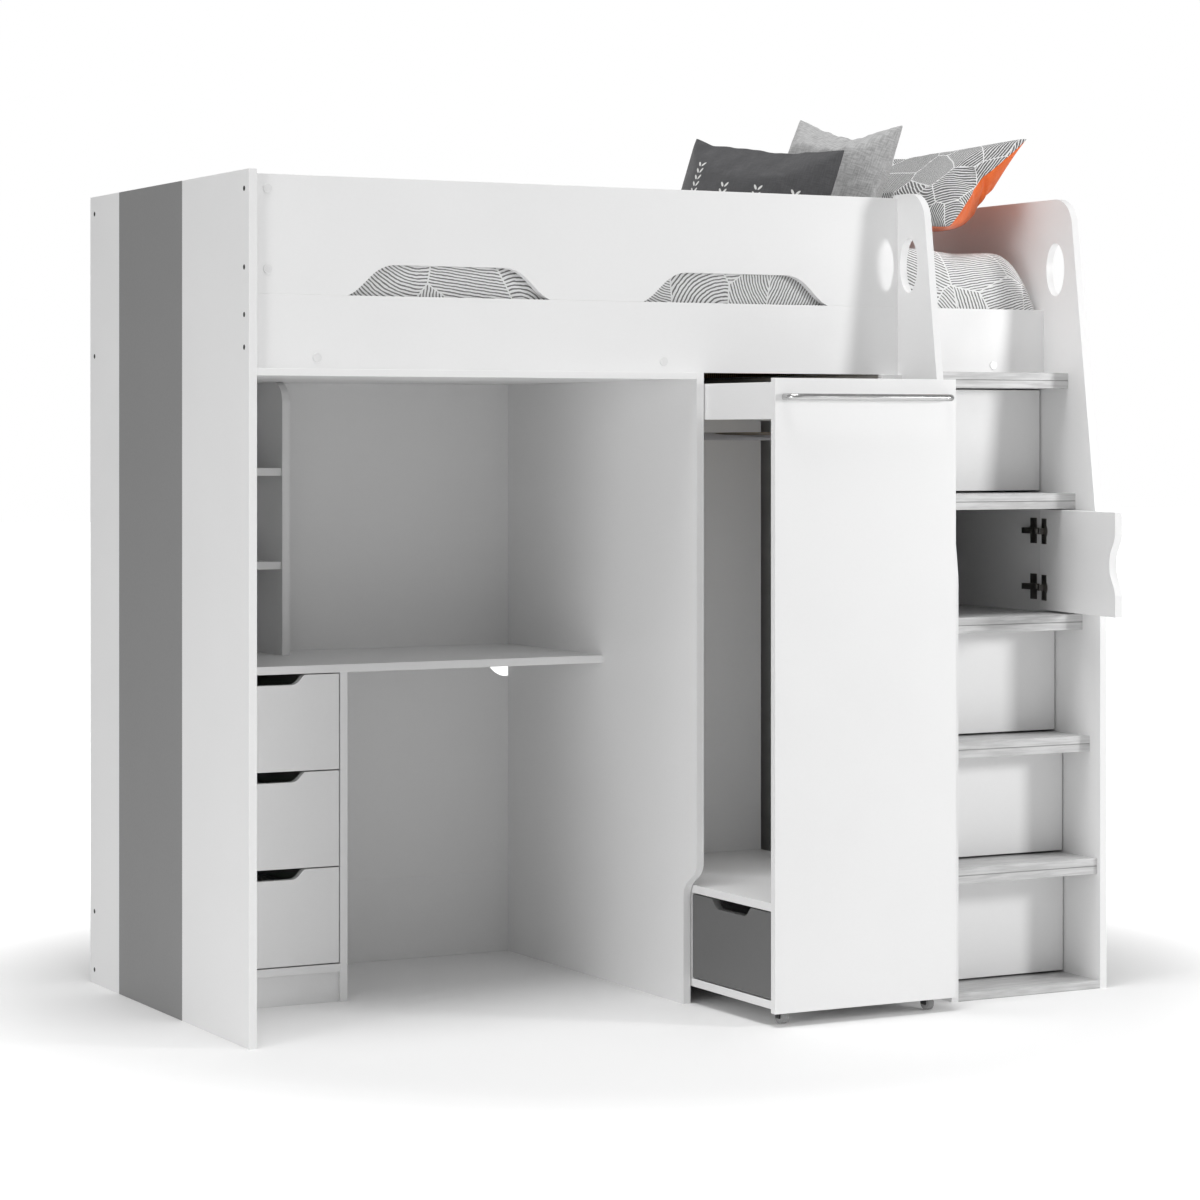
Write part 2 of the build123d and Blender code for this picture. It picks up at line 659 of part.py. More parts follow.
def castor_housings():
    """A plate with two cheeks and an axle for each wheel, fixed under the base."""
    half = WHEEL_WIDTH / 2 + 1.0
    out = half + CHEEK
    housings = []
    for x, y in castor_places():
        plate = block((x - out, x + out), (y - 16, y + 16), (BASE[0] - CHEEK, BASE[0]))
        cheek_z = (WHEEL_RADIUS - AXLE_RADIUS - 2.0, BASE[0] - CHEEK)
        left = block((x - out, x - half), (y - 8, y + 8), cheek_z)
        right = block((x + half, x + out), (y - 8, y + 8), cheek_z)
        axle = rod((x - half, y, WHEEL_RADIUS), (x + half, y, WHEEL_RADIUS), AXLE_RADIUS)
        housings.append(plate + left + right + axle)
    return group(housings)


def castor_wheels(row):
    """The two wheels of the front row, 0, or of the rear row, 1."""
    half = WHEEL_WIDTH / 2
    wheels = []
    for x, y in castor_places()[2 * row : 2 * row + 2]:
        ends = (x - half, y, WHEEL_RADIUS), (x + half, y, WHEEL_RADIUS)
        wheels.append(tube(*ends, WHEEL_RADIUS, AXLE_RADIUS + AXLE_CLEAR))
    return group(wheels)


def low_drawer_front():
    """The side-facing drawer's front, in a second colour, with a finger notch."""
    foot, top = BASE[1] + GAP, LOW_SHELF[0] - GAP
    x = (UNIT[0], UNIT[0] + BOARD)
    cut = notch(LOW_NOTCH_MOUTH, LOW_NOTCH_FLOOR, LOW_NOTCH_DEPTH, NOTCH_LEAN)
    placed = Pos(sum(LOW_DRAWER) / 2, top) * Rot(0, 0, 180) * cut
    return board(x, LOW_DRAWER, (foot, top)) - plate_across(placed, x)


def low_box_sizes():
    """The side-facing drawer box's reach along X, Y and Z."""
    start = UNIT[0] + BOARD
    foot = BASE[1] + SEAT_GAP
    y = (LOW_DRAWER[0] + GAP, LOW_DRAWER[1] - GAP)
    x = (start, UNIT[1] - BOARD - LOW_DRAWER_BACK_GAP)
    return x, y, (foot, foot + DRAWER_BOX_HEIGHT)


def wardrobe():
    """Every piece of the pull-out unit, pushed in."""
    return {
        "wardrobe_front": board(UNIT, (0, BOARD), (FRONT_FLOOR_GAP, UNIT_TOP)),
        "wardrobe_rear": board(UNIT, UNIT_BACK, (BASE[0], CARCASS_TOP)),
        "wardrobe_base": board(UNIT, (BOARD, UNIT_BACK[0]), BASE),
        "wardrobe_carcass": wardrobe_carcass(),
        "wardrobe_top_rails": wardrobe_top_rails(),
        "wardrobe_handle": wardrobe_handle(),
        "hanging_rail": hanging_rail(),
        "castor_housings": castor_housings(),
        "castor_wheels_front": castor_wheels(0),
        "castor_wheels_rear": castor_wheels(1),
        "low_drawer_front": low_drawer_front(),
        "low_drawer_box": open_box(*low_box_sizes()),
    }


def fixed_boards():
    """The plain boards that join the ends and the partitions."""
    bay = (LEFT, PARTITION[0])
    desk_back = (LEFT, sum(PARTITION) / 2)
    wardrobe_back = (desk_back[1], sum(LADDER_SIDE) / 2)
    locker_back = (wardrobe_back[1], RIGHT)
    low = (0, SIDE_FOOT)
    side = (GUARD_FOOT - SIDE_HEIGHT, GUARD_FOOT)
    return {
        "side_rail_front": board((LEFT, LADDER_SIDE[0]), RAIL, side),
        "side_rail_ladder": board((LADDER_SIDE[1], RIGHT), RAIL, (TOP_TREAD, GUARD_FOOT)),
        "rear_rail": board((LEFT, RIGHT), BACK, (SIDE_FOOT, RAIL_TOP)),
        "canopy_panel": board(bay, (0, BACK[0]), CANOPY),
        "back_panel_upper": board(desk_back, BACK, (DESK[0], SIDE_FOOT)),
        "back_panel_strip": board(desk_back, BACK, (0, BACK_STRIP_HEIGHT)),
        "rear_bay_panels": group(
            [board(wardrobe_back, BACK, low), board(locker_back, BACK, low)]
        ),
        "wardrobe_infill": board((UNIT[1] + GAP, LADDER_SIDE[0]), (0, BOARD), low),
        "desk_top": board(bay, (DESK_FRONT, BACK[0]), DESK),
        "pedestal_side": board(SHELF_SIDE, (DRAWER_FRONT, BACK[0]), (0, DESK[0])),
    }


def build():
    """Every node by name, in the drawing frame."""
    nodes = desk_end()
    nodes["end_panel_right"] = end_panel_right()
    nodes["ladder_side_panel"] = ladder_side_panel()
    nodes["partition_panel"] = partition_panel()
    nodes["guard_rail"] = guard_rail()
    nodes.update(fixed_boards())
    nodes["back_panel_lower"] = back_panel_lower()
    nodes["bookshelf"] = bookshelf()
    nodes["pedestal_base"] = pedestal_base()
    nodes["drawer_runners"] = drawer_runners()
    nodes["ladder_treads"] = ladder_treads()
    nodes["hinge_plates"] = hinge_plates()
    nodes["cover_caps"] = cover_caps()
    nodes["assembly_screws"] = assembly_screws()
    nodes["slat_battens"] = slat_battens()
    nodes["bed_slats"] = bed_slats()
    nodes.update(bedding())
    nodes["dark_cushion"] = pillow(DARK_CUSHION, DARK_CUSHION_FOOT)
    nodes["light_cushion"] = pillow(LIGHT_CUSHION, LIGHT_CUSHION_FOOT)
    nodes["patterned_pillow"] = pillow(PATTERNED_PILLOW, PATTERNED_PILLOW_FOOT)
    for number in range(DRAWER_COUNT):
        nodes[f"drawer_{number + 1}_front"] = pedestal_drawer_front(number)
        nodes[f"drawer_{number + 1}_box"] = open_box(*pedestal_box_sizes(number))
    for number in range(DOOR_COUNT):
        nodes[f"locker_door_{number + 1}"] = locker_door(number)
        nodes[f"locker_hinges_{number + 1}"] = locker_hinges(number)
    for name, solid in wardrobe().items():
        nodes[name] = drawn_out(solid)
    return nodes


def to_origin(nodes):
    """The move that puts the origin under the middle of the whole bed's box."""
    boxes = [node.bounding_box() for node in nodes.values()]
    low_x, low_y = min(box.min.X for box in boxes), min(box.min.Y for box in boxes)
    high_x, high_y = max(box.max.X for box in boxes), max(box.max.Y for box in boxes)
    return Pos(-(low_x + high_x) / 2, -(low_y + high_y) / 2, 0)


NODES = build()
MOVE = to_origin(NODES)


def main():
    """Writes one file per node."""
    os.makedirs("parts", exist_ok=True)
    for name, solid in NODES.items():
        export_step(MOVE * solid, f"parts/{name}.step")


if __name__ == "__main__":
    main()
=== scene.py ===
"""Looks of the loft bed: finishes for its boards and fittings, its bedding, and a studio."""

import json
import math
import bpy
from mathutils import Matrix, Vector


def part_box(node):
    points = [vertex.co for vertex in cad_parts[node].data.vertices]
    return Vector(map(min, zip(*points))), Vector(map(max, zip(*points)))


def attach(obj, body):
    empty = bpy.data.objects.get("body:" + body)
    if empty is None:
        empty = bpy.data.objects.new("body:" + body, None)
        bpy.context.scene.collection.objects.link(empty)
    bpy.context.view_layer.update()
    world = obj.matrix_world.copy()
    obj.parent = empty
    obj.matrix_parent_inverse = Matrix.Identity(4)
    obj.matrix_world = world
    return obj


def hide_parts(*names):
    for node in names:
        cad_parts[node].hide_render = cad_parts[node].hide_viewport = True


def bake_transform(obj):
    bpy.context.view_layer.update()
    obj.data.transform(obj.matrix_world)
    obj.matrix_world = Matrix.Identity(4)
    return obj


bl_info = {
    "name": "Loft Bed Looks",
    "version": (1, 0, 0),
    "blender": (4, 5, 0),
    "location": "View3D > Sidebar > Loft Bed",
    "description": "Melamine boards, chromed fittings and soft bedding for a loft bed",
    "category": "Object",
}

import bmesh
import bpy
import numpy as np
from bpy.props import FloatProperty, FloatVectorProperty, PointerProperty
from mathutils import Matrix, Vector

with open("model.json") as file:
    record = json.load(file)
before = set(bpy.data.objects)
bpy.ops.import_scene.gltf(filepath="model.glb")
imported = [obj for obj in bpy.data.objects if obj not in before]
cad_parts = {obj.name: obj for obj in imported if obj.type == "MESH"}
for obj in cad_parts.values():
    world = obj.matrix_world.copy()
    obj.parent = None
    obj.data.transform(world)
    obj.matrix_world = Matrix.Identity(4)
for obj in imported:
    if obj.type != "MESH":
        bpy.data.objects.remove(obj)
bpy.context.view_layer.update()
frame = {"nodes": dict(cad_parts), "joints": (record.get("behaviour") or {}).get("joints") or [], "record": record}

MM = 0.001
TAU = 2 * math.pi
# points round a quarter circle in a soft piece's grid
ROUND_POINTS = 9
# where the underside's stretch of cloth starts from the top's, in metres
OTHER_STRETCH = (0.37, 0.61)
SLOTS = {part["node"]: part["material_slot"] for part in frame["record"]["subparts"]}
JOINTS = {joint["name"]: joint for joint in frame["joints"]}


# ---- colours and shader nodes ----
def linear(code):
    """An sRGB hex colour as linear RGB: each channel through the sRGB curve."""
    channels = [int(code[i : i + 2], 16) / 255 for i in (1, 3, 5)]
    return tuple(c / 12.92 if c <= 0.04045 else ((c + 0.055) / 1.055) ** 2.4 for c in channels)


def toned(colour, factor):
    """A linear colour made lighter or darker, with full opacity."""
    return (*(min(1.0, channel * factor) for channel in tuple(colour)[:3]), 1.0)


def connect(tree, node, inputs):
    """Sets a node's inputs, or links them where the value is another node's output."""
    for socket, value in inputs.items():
        if isinstance(value, bpy.types.NodeSocket):
            tree.links.new(value, node.inputs[socket])
        else:
            node.inputs[socket].default_value = value


def add(tree, kind, inputs=None, out=0, **settings):
    """Adds a node with its settings and inputs, and gives one of its outputs."""
    node = tree.nodes.new("ShaderNode" + kind)
    for name, value in settings.items():
        setattr(node, name, value)
    connect(tree, node, inputs or {})
    return node.outputs[out]


def new_material(name):
    """An empty material with a Principled shader: the material, its tree and the shader."""
    material = bpy.data.materials.new(name)
    material.use_nodes = True
    return material, material.node_tree, material.node_tree.nodes["Principled BSDF"]


def edge_mask(tree, radius):
    """1 along a piece's outer edges, where the rounded normal leaves the flat one."""
    rounded = add(tree, "Bevel", {"Radius": radius}, samples=3)
    flat = add(tree, "NewGeometry", out="True Normal")
    dot = add(tree, "VectorMath", {0: rounded, 1: flat}, "Value", operation="DOT_PRODUCT")
    return add(tree, "MapRange", {0: dot, 1: 0.995, 2: 0.93}, interpolation_type="SMOOTHSTEP")


# ---- finishes of boards ----
def melamine(name, colour, roughness, mottle, edge_light_factor):
    """Melamine-faced chipboard: paper in hard resin, pressed against a textured plate.

    The resin gives a satin sheen over a fine pebble, the paper a faint cloudiness. Along the
    edges the colour is scaled by the last argument: above 1 a painted highlight, below 1
    painted shade, in place of light on the eased arrises.
    """
    material, tree, shader = new_material(name)
    place = add(tree, "TexCoord", out="Object")
    cloud = add(tree, "TexNoise", {"Vector": place, "Scale": 1 / (160 * MM), "Detail": 4.0})
    fibre = add(tree, "TexNoise", {"Vector": place, "Scale": 1 / (7 * MM), "Detail": 2.0})
    # the real pebble is 0.3 mm across; it is drawn at 1.2 mm so that it shows
    pebble = add(tree, "TexNoise", {"Vector": place, "Scale": 1 / (1.2 * MM), "Detail": 2.0})
    light, dark = toned(colour, 1 + mottle), toned(colour, 1 - mottle)
    base = add(tree, "Mix", {0: cloud, 6: dark, 7: light}, 2, data_type="RGBA")
    speck = add(tree, "MapRange", {0: fibre, 1: 0.35, 2: 0.75, 4: mottle * 4})
    base = add(tree, "Mix", {0: speck, 6: base, 7: toned(colour, 0.8)}, 2, data_type="RGBA")
    # painted highlight along the board's edges where the factor is above 1, painted shade where below, at half
    # strength
    painted_edge_light = add(tree, "Math", {0: edge_mask(tree, 1.6 * MM), 1: 0.5}, operation="MULTIPLY")
    base = add(tree, "Mix", {0: painted_edge_light, 6: base, 7: toned(colour, edge_light_factor)}, 2, data_type="RGBA")
    sheen = add(tree, "MapRange", {0: cloud, 1: 0.3, 2: 0.7, 3: roughness - 0.05, 4: roughness + 0.05})
    bump = add(tree, "Bump", {"Height": pebble, "Distance": 0.05 * MM, "Strength": 0.4})
    connect(tree, shader, {"Base Color": base, "Roughness": sheen, "Normal": bump, "IOR": 1.5})
    return material


def wood_print_melamine(colour, rise):
    """Tread board: melamine with a pale grey wood print, pressed along its grain.

    The grain runs along the tread in long streaks, with fine dark pores. Each tread is two
    boards thick, and rise, the height from one tread to the next, gives their seams, where
    a dark line of painted shade stands for the groove between the boards.
    """
    material, tree, shader = new_material("wood_print_melamine")
    place = add(tree, "TexCoord", out="Object")
    # streaks are about 90 mm long and 7 mm wide, pores 40 mm long and 2 mm wide
    along = add(tree, "Mapping", {"Vector": place, "Scale": (1 / 0.09, 1 / 0.007, 1 / 0.007)})
    streak = add(tree, "TexNoise", {"Vector": along, "Scale": 1.0, "Detail": 6.0, "Distortion": 0.4})
    fine = add(tree, "Mapping", {"Vector": place, "Scale": (1 / 0.04, 1 / 0.002, 1 / 0.002)})
    pore = add(tree, "TexNoise", {"Vector": fine, "Scale": 1.0, "Detail": 3.0})
    amount = add(tree, "MapRange", {0: streak, 1: 0.32, 2: 0.68}, interpolation_type="SMOOTHSTEP")
    dark, light = toned(colour, 0.84), toned(colour, 1.08)
    base = add(tree, "Mix", {0: amount, 6: dark, 7: light}, 2, data_type="RGBA")
    pores = add(tree, "MapRange", {0: pore, 1: 0.58, 2: 0.76, 4: 0.3})
    base = add(tree, "Mix", {0: pores, 6: base, 7: toned(colour, 0.45)}, 2, data_type="RGBA")
    split = tree.nodes.new("ShaderNodeSeparateXYZ")
    connect(tree, split, {0: place})
    # painted shade: a dark line in the groove between a tread's two boards, whose eased edges are 3 mm apart
    off = add(tree, "Math", {0: split.outputs[2], 1: rise / 2}, operation="PINGPONG")
    seam_shade = add(tree, "MapRange", {0: off, 1: 1.8 * MM, 2: 0.6 * MM, 4: 0.7})
    base = add(tree, "Mix", {0: seam_shade, 6: base, 7: toned(colour, 0.3)}, 2, data_type="RGBA")
    sheen = add(tree, "MapRange", {0: streak, 1: 0.3, 2: 0.7, 3: 0.5, 4: 0.38})
    bump = add(tree, "Bump", {"Height": streak, "Distance": 0.1 * MM, "Strength": 0.5})
    connect(tree, shader, {"Base Color": base, "Roughness": sheen, "Normal": bump, "IOR": 1.5})
    return material


def planed_pine(colour):
    """Slats and bearers: planed pine, yellow with darker bands of late wood, unvarnished."""
    material, tree, shader = new_material("planed_pine")
    place = add(tree, "TexCoord", out="Object")
    # rings show as bands about 6 mm apart that run far along the board
    along = add(tree, "Mapping", {"Vector": place, "Scale": (1 / 0.03, 1 / 0.4, 1 / 0.03)})
    rings = add(tree, "TexWave", {"Vector": along, "Scale": 1.6, "Distortion": 3.0, "Detail": 3.0})
    light, dark = toned(colour, 1.1), toned(colour, 0.66)
    base = add(tree, "Mix", {0: rings, 6: light, 7: dark}, 2, data_type="RGBA")
    bump = add(tree, "Bump", {"Height": rings, "Distance": 0.2 * MM, "Strength": 0.4})
    connect(tree, shader, {"Base Color": base, "Roughness": 0.62, "Normal": bump})
    return material


# ---- finishes of fittings ----
def plated(name, colour, roughness, brushed):
    """Plated steel: a metal mirror softened by polishing lines that run along one axis."""
    material, tree, shader = new_material(name)
    place = add(tree, "TexCoord", out="Object")
    # polishing lines: 1.5 mm apart and 60 mm long, coarser than real so that they show
    fine, long = 1 / (1.5 * MM), 1 / (60 * MM)
    scale = [long if axis == brushed else fine for axis in "xyz"]
    stretched = add(tree, "Mapping", {"Vector": place, "Scale": scale})
    lines = add(tree, "TexNoise", {"Vector": stretched, "Scale": 1.0, "Detail": 3.0})
    smear = add(tree, "TexNoise", {"Vector": place, "Scale": 1 / (30 * MM)})
    light, dark = toned(colour, 1.05), toned(colour, 0.9)
    base = add(tree, "Mix", {0: smear, 6: dark, 7: light}, 2, data_type="RGBA")
    ends = {3: roughness * 0.75, 4: roughness * 1.3}
    sheen = add(tree, "MapRange", {0: lines, 1: 0.3, 2: 0.7, **ends})
    bump = add(tree, "Bump", {"Height": lines, "Distance": 0.02 * MM, "Strength": 0.4})
    connect(tree, shader, {"Base Color": base, "Roughness": sheen, "Normal": bump, "Metallic": 1.0})
    return material


def moulded(name, colour, roughness, grain, through=0.0):
    """Moulded plastic or powder coat: a light eroded grain; it may let light through."""
    material, tree, shader = new_material(name)
    place = add(tree, "TexCoord", out="Object")
    rough = add(tree, "TexNoise", {"Vector": place, "Scale": 1 / grain, "Detail": 2.0})
    tint = add(tree, "TexNoise", {"Vector": place, "Scale": 1 / (12 * MM)})
    light, dark = toned(colour, 1.05), toned(colour, 0.92)
    base = add(tree, "Mix", {0: tint, 6: dark, 7: light}, 2, data_type="RGBA")
    ends = {3: roughness * 0.85, 4: roughness * 1.2}
    sheen = add(tree, "MapRange", {0: rough, 1: 0.3, 2: 0.7, **ends})
    bump = add(tree, "Bump", {"Height": rough, "Distance": 0.05 * MM, "Strength": 0.4})
    connect(tree, shader, {"Base Color": base, "Roughness": sheen, "Normal": bump, "IOR": 1.49})
    shader.inputs["Transmission Weight"].default_value = through
    return material


# ---- fabrics, which read the cloth's own flat coordinates in metres ----
def plain_weave(tree, cloth, thread):
    """The height of a plain weave: the product of two sine waves a thread's width apart."""
    parts = add(tree, "Mapping", {"Vector": cloth, "Scale": [math.pi / thread] * 3})
    split = tree.nodes.new("ShaderNodeSeparateXYZ")
    connect(tree, split, {0: parts})
    warp, weft = (add(tree, "Math", {0: out}, operation="SINE") for out in split.outputs[:2])
    product = add(tree, "Math", {0: warp, 1: weft}, operation="MULTIPLY")
    return add(tree, "MapRange", {0: product, 1: -1.0})


def hatching(tree, cloth, patch, pitch):
    """Hand-drawn hatching, as a wave from -1 between strokes to 1 on them.

    The cloth is split in patches with straight borders, each drawn round with one stroke.
    A patch has its own direction and spacing of strokes, and in a few patches they are
    arcs about a point outside the patch.
    """
    drift = add(tree, "TexNoise", {"Vector": cloth, "Scale": 1 / (70 * MM), "Detail": 1.0}, "Color")
    moved = add(tree, "VectorMath", {0: drift, 1: [7 * MM] * 3, 2: cloth}, operation="MULTIPLY_ADD")
    cell = tree.nodes.new("ShaderNodeTexVoronoi")
    cell.voronoi_dimensions = "2D"
    spread = {"Vector": moved, "Scale": 1 / patch, "Randomness": 1.0}
    connect(tree, cell, spread)
    border = {"voronoi_dimensions": "2D", "feature": "DISTANCE_TO_EDGE"}
    border = add(tree, "TexVoronoi", spread, "Distance", **border)
    # a border stroke is 3 mm wide, and the distance is in patches
    border = add(tree, "MapRange", {0: border, 1: 2.2 * MM / patch, 2: 0.8 * MM / patch, 4: 2.0})
    chance = tree.nodes.new("ShaderNodeSeparateColor")
    connect(tree, chance, {0: cell.outputs["Color"]})
    local = add(tree, "VectorMath", {0: moved, 1: cell.outputs["Position"]}, operation="SUBTRACT")
    turn = add(tree, "Math", {0: chance.outputs[0], 1: TAU}, operation="MULTIPLY")
    turned = add(tree, "VectorRotate", {"Vector": local, "Angle": turn}, rotation_type="Z_AXIS")
    split = tree.nodes.new("ShaderNodeSeparateXYZ")
    connect(tree, split, {0: turned})
    aside = add(tree, "VectorMath", {0: turned, 1: (0.8 * patch, 0, 0)}, operation="ADD")
    arc = add(tree, "VectorMath", {0: aside}, "Value", operation="LENGTH")
    arched = add(tree, "Math", {0: chance.outputs[1], 1: 0.72}, operation="GREATER_THAN")
    across = add(tree, "Mix", {0: arched, 2: split.outputs[0], 3: arc}, data_type="FLOAT")
    rate = {3: TAU / pitch * 0.8, 4: TAU / pitch * 1.15}
    rate = add(tree, "MapRange", {0: chance.outputs[2], **rate})
    tremble = add(tree, "TexNoise", {"Vector": cloth, "Scale": 1 / (25 * MM), "Detail": 2.0})
    tremble = add(tree, "Math", {0: tremble, 1: 4.0}, operation="MULTIPLY")
    phase = add(tree, "Math", {0: across, 1: rate, 2: tremble}, operation="MULTIPLY_ADD")
    wave = add(tree, "Math", {0: phase}, operation="SINE")
    return add(tree, "Math", {0: wave, 1: border}, operation="ADD")


def creased(tree, cloth, weave, crease):
    """A normal for cloth: slight creases some 45 mm long, with the weave on them."""
    fold = add(tree, "TexNoise", {"Vector": cloth, "Scale": 1 / (45 * MM), "Detail": 4.0})
    folded = add(tree, "Bump", {"Height": fold, "Distance": crease, "Strength": 0.6})
    return add(
        tree, "Bump", {"Height": weave, "Distance": 0.3 * MM, "Strength": 0.5, "Normal": folded}
    )


def hatched_cotton(name, ground, stroke, patch, pitch, cover):
    """Printed cotton percale: matt, white hatching on grey. Cover shifts the strokes' share."""
    material, tree, shader = new_material(name)
    cloth = add(tree, "UVMap", uv_map="cloth")
    wave = hatching(tree, cloth, patch, pitch)
    ragged = add(tree, "TexNoise", {"Vector": cloth, "Scale": 1 / (6 * MM), "Detail": 2.0})
    ragged = add(tree, "MapRange", {0: ragged, 3: -0.45 + cover, 4: 0.45 + cover})
    edge = add(tree, "Math", {0: wave, 1: ragged}, operation="ADD")
    inked = add(tree, "MapRange", {0: edge, 1: -0.35, 2: 0.35}, interpolation_type="SMOOTHSTEP")
    tone = add(tree, "TexNoise", {"Vector": cloth, "Scale": 1 / (60 * MM), "Detail": 2.0})
    grey = {6: toned(ground, 0.7), 7: toned(ground, 1.35)}
    grey = add(tree, "Mix", {0: tone, **grey}, 2, data_type="RGBA")
    base = add(tree, "Mix", {0: inked, 6: grey, 7: toned(stroke, 1)}, 2, data_type="RGBA")
    # percale has threads of 0.25 mm; they are drawn at 1.2 mm so that they show
    normal = creased(tree, cloth, plain_weave(tree, cloth, 1.2 * MM), 4 * MM)
    connect(tree, shader, {"Base Color": base, "Normal": normal, "Roughness": 0.88})
    shader.inputs["Sheen Weight"].default_value = 0.15
    return material


def dyed_cloth(name, colour, fleck, thread, flecks, crease=4 * MM):
    """Dyed cloth in a plain weave: uneven yarns both ways give it pale or dark flecks."""
    material, tree, shader = new_material(name)
    cloth = add(tree, "UVMap", uv_map="cloth")
    # a thick place in a yarn is about 30 mm long and two threads wide
    yarns = []
    for scale in ((1 / 0.03, 0.5 / thread, 1.0), (0.5 / thread, 1 / 0.03, 1.0)):
        run = add(tree, "Mapping", {"Vector": cloth, "Scale": scale})
        yarns.append(add(tree, "TexNoise", {"Vector": run, "Scale": 1.0, "Detail": 3.0}))
    slub = add(tree, "Math", {0: yarns[0], 1: yarns[1]}, operation="ADD")
    amount = add(tree, "MapRange", {0: slub, 1: 0.84, 2: 1.2, 4: flecks})
    base = {0: amount, 6: toned(colour, 1), 7: toned(fleck, 1)}
    base = add(tree, "Mix", base, 2, data_type="RGBA")
    wash = add(tree, "TexNoise", {"Vector": cloth, "Scale": 1 / (40 * MM), "Detail": 4.0})
    wash = add(tree, "MapRange", {0: wash, 1: 0.35, 2: 0.7, 4: 0.35})
    base = add(tree, "Mix", {0: wash, 6: base, 7: toned(colour, 0.75)}, 2, data_type="RGBA")
    normal = creased(tree, cloth, plain_weave(tree, cloth, thread), crease)
    connect(tree, shader, {"Base Color": base, "Normal": normal, "Roughness": 0.92})
    shader.inputs["Sheen Weight"].default_value = 0.25
    return material


def stitched(material, thread):
    """Embroiders sprigs on a cloth: pairs of white leaves up stems 105 mm apart.

    Across a stem the leaves mirror each other. The first stem is tall and the others are
    short, and past the fourth there are none.
    """
    tree = material.node_tree
    shader = tree.nodes["Principled BSDF"]
    cloth = add(tree, "UVMap", uv_map="cloth")
    # stems run up from the lower edge, the first 160 mm from the middle
    first, stems, heights = 160 * MM, 105 * MM, 17 * MM
    split = tree.nodes.new("ShaderNodeSeparateXYZ")
    connect(tree, split, {0: cloth})
    along = add(tree, "Math", {0: first, 1: split.outputs[0]}, operation="SUBTRACT")
    across = add(tree, "Math", {0: along, 1: stems / 2}, operation="PINGPONG")
    level = add(tree, "Math", {0: split.outputs[1], 1: heights}, operation="FLOORED_MODULO")
    place = add(tree, "CombineXYZ", {0: across, 1: level})
    # a leaf is 15 mm long and 6 mm wide, and leans out from the stem
    middle = add(tree, "VectorMath", {0: place, 1: (7 * MM, heights / 2, 0)}, operation="SUBTRACT")
    lean = {"Vector": middle, "Angle": math.radians(40)}
    turned = add(tree, "VectorRotate", lean, rotation_type="Z_AXIS")
    sized = {0: turned, 1: (1 / (3 * MM), 1 / (7.5 * MM), 0)}
    sized = add(tree, "VectorMath", sized, operation="MULTIPLY")
    reach = add(tree, "VectorMath", {0: sized}, "Value", operation="LENGTH")
    leaf = add(tree, "MapRange", {0: reach, 1: 1.1, 2: 0.9})
    far = add(tree, "MapRange", {0: along, 1: 3.4 * stems, 2: 3.5 * stems, 3: 1.0, 4: 0.0})
    rows = {0: along, 1: 0.4 * stems, 2: 0.6 * stems, 3: 4 * heights, 4: heights}
    tall = add(tree, "MapRange", rows)
    low = add(tree, "Math", {0: split.outputs[1], 1: tall}, operation="LESS_THAN")
    shown = add(tree, "Math", {0: leaf, 1: far}, operation="MULTIPLY")
    shown = add(tree, "Math", {0: shown, 1: low}, operation="MULTIPLY")
    base = shader.inputs["Base Color"].links[0].from_socket
    base = add(tree, "Mix", {0: shown, 6: base, 7: toned(thread, 1)}, 2, data_type="RGBA")
    connect(tree, shader, {"Base Color": base})


def knitted_ticking():
    """Mattress ticking: white knit, quilted in squares of 40 mm."""
    material, tree, shader = new_material("knitted_ticking")
    cloth = add(tree, "UVMap", uv_map="cloth")
    quilt = plain_weave(tree, cloth, 40 * MM)
    # painted shade: the colour follows the quilt's height, darker in its hollows and paler on its puffs
    colours = {6: toned(linear("#D6D6D2"), 1), 7: toned(linear("#EEEEEC"), 1)}
    base = add(tree, "Mix", {0: quilt, **colours}, 2, data_type="RGBA")
    bump = add(tree, "Bump", {"Height": quilt, "Distance": 3 * MM, "Strength": 0.6})
    connect(tree, shader, {"Base Color": base, "Roughness": 0.9, "Normal": bump})
    return material


def dress(material, *nodes):
    """Gives CAD nodes a finish."""
    for node in nodes:
        mesh = frame["nodes"][node].data
        mesh.materials.clear()
        mesh.materials.append(material)


# ---- meshes ----
def make_piece(name, points, faces, materials, uv=None):
    """A smooth mesh from arrays of points and faces, with a flat place for each corner."""
    mesh = bpy.data.meshes.new(name)
    mesh.from_pydata(points.tolist(), [], faces.tolist())
    if uv is not None:
        layer = mesh.uv_layers.new(name="cloth")
        layer.data.foreach_set("uv", uv.astype(np.float32).ravel())
    mesh.polygons.foreach_set("use_smooth", np.ones(len(mesh.polygons), bool))
    for material in materials:
        mesh.materials.append(material)
    mesh.update()
    piece = bpy.data.objects.new(name, mesh)
    bpy.context.scene.collection.objects.link(piece)
    return piece


def quads(rows, columns):
    """The corner numbers of a grid's quads, for points numbered row by row."""
    first = (np.arange(rows - 1)[:, None] * columns + np.arange(columns - 1)).ravel()
    return np.stack([first, first + 1, first + columns + 1, first + columns], 1)


def two_sheets(top, bottom, cloth):
    """Two grids of points sewn along their border into one closed skin.

    The border is the top grid's own. The top grid's quads come first, then the bottom
    grid's, turned over. cloth holds each point's place on the flat cloth, and the bottom
    sheet takes another stretch of it.
    """
    rows, columns = top.shape[:2]
    number = np.arange(rows * columns).reshape(rows, columns)
    below = number.copy()
    extra = np.arange((rows - 2) * (columns - 2)).reshape(rows - 2, columns - 2)
    below[1:-1, 1:-1] = rows * columns + extra
    grid = quads(rows, columns)
    faces = np.concatenate([number.ravel()[grid], below.ravel()[grid][:, ::-1]])
    points = np.concatenate([top.reshape(-1, 3), bottom[1:-1, 1:-1].reshape(-1, 3)])
    flat = cloth.reshape(-1, 2)
    other = flat + np.array(OTHER_STRETCH)
    return points, faces, np.concatenate([flat[grid], other[grid][:, ::-1]])


